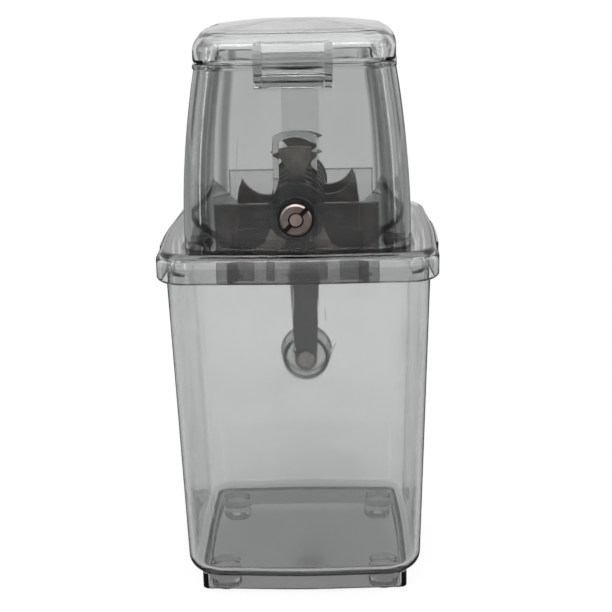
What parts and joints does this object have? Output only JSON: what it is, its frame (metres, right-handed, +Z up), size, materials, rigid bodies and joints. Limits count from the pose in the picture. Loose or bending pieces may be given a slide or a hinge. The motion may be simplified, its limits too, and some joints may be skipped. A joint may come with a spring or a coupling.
{
  "type": "hand crank ice crusher",
  "caption": "Hand-cranked ice crusher in clear smoky plastic: a hinged-lid hopper with a clawed rotor stands on a square ice bin.",
  "frame": {"origin": "on the table, under the middle of the whole crusher's box, crank and knob included", "axes": "+Z up, Y along the rotor's shaft with the lid's hinge at -Y and the crank at +Y, X across the shaft"},
  "size_m": [0.1262, 0.1502, 0.2596],
  "materials": {
    "bin_plastic": "clear smoky grey, polished",
    "housing_plastic": "clear smoky grey, polished",
    "chamber_plastic": "dark smoke",
    "black_plastic": "moulded",
    "arm_plastic": "moulded",
    "claw_steel": "dull stamped plate",
    "comb_steel": "dull plate",
    "bright_steel": "turned"
  },
  "bodies": {
    "bin": {"foot_front_left": "bin_plastic", "foot_front_right": "bin_plastic", "foot_rear_left": "bin_plastic", "foot_rear_right": "bin_plastic", "ice_bin": "bin_plastic"},
    "housing": {"collar": "housing_plastic", "hopper": "housing_plastic", "crush_chamber": "chamber_plastic", "fixed_comb_left": "comb_steel", "fixed_comb_right": "comb_steel", "chamber_screws": "bright_steel", "comb_screws": "bright_steel", "front_bush": "black_plastic", "rear_bush": "black_plastic"},
    "lid": {"lid": "housing_plastic", "hinge_pin": "bright_steel"},
    "rotor": {"drive_shaft": "bright_steel", "front_washer": "claw_steel", "front_nut": "bright_steel", "front_end_disc": "black_plastic", "rear_end_disc": "black_plastic", "front_end_spacer": "black_plastic", "rear_end_spacer": "black_plastic", "crank_hub": "black_plastic", "crank_arm": "arm_plastic", "crank_nut": "bright_steel", "knob_pin": "bright_steel", "claw_1": "claw_steel", "claw_2": "claw_steel", "claw_3": "claw_steel", "claw_4": "claw_steel", "claw_5": "claw_steel", "claw_6": "claw_steel", "spacer_1": "black_plastic", "spacer_2": "black_plastic", "spacer_3": "black_plastic", "spacer_4": "black_plastic", "spacer_5": "black_plastic"},
    "knob": {"crank_knob": "housing_plastic"}
  },
  "joints": [
    {"name": "housing_lift", "type": "slide", "parent": "bin", "child": "housing", "axis": [0, 0, 1], "range_m": [0, 0.1]},
    {"name": "lid_hinge", "type": "hinge", "parent": "housing", "child": "lid", "pos_m": [0, -0.06305, 0.2384], "axis": [1, 0, 0], "range_deg": [0, 105]},
    {"name": "crank_turn", "type": "hinge", "parent": "housing", "child": "rotor", "pos_m": [0, -0.01375, 0.1801], "axis": [0, 1, 0], "continuous": true},
    {"name": "knob_spin", "type": "hinge", "parent": "rotor", "child": "knob", "pos_m": [0, 0.0541, 0.0786], "axis": [0, 1, 0], "continuous": true}
  ]
}
